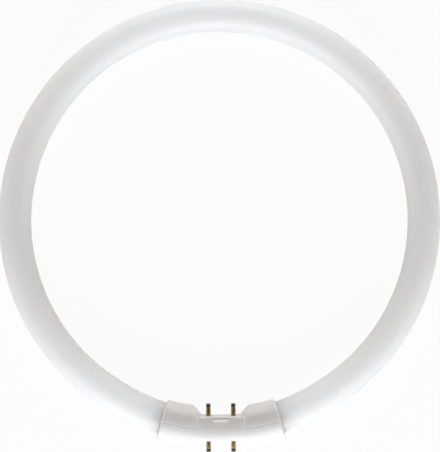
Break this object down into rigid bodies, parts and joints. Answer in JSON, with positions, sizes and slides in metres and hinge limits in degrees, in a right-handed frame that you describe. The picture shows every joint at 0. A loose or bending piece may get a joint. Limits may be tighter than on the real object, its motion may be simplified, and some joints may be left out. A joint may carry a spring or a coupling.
{
  "type": "circular fluorescent tube",
  "caption": "Ring-shaped fluorescent lamp: a coated glass tube bent into a circle, its ends joined by a two-part moulded cap with contact pins facing into and out of the ring.",
  "frame": {"origin": "middle of the lamp's box, on the surface that the cap's underside rests on", "axes": "+Z along the ring's axis, upwards from the surface that the ring lies on; -Y from the ring's centre towards the cap; +X to the right when looking down with the cap nearest"},
  "size_m": [0.225, 0.2307, 0.0212],
  "materials": {
    "coated_glass": "clear glass, opaque white powder coating behind it",
    "cap_plastic": "white moulding with a satin skin",
    "pin_brass": "drawn, dulled at the crimped tip",
    "lead_metal": "plain drawn wire"
  },
  "bodies": {
    "root": {"glass_tube": "coated_glass", "cap_inner_half": "cap_plastic", "cap_outer_half": "cap_plastic", "contact_pin_inner_left": "pin_brass", "contact_pin_inner_right": "pin_brass", "contact_pin_outer_left": "pin_brass", "contact_pin_outer_right": "pin_brass", "lead_wire_inner_left": "lead_metal", "lead_wire_inner_right": "lead_metal", "lead_wire_outer_left": "lead_metal", "lead_wire_outer_right": "lead_metal"}
  },
  "joints": []
}
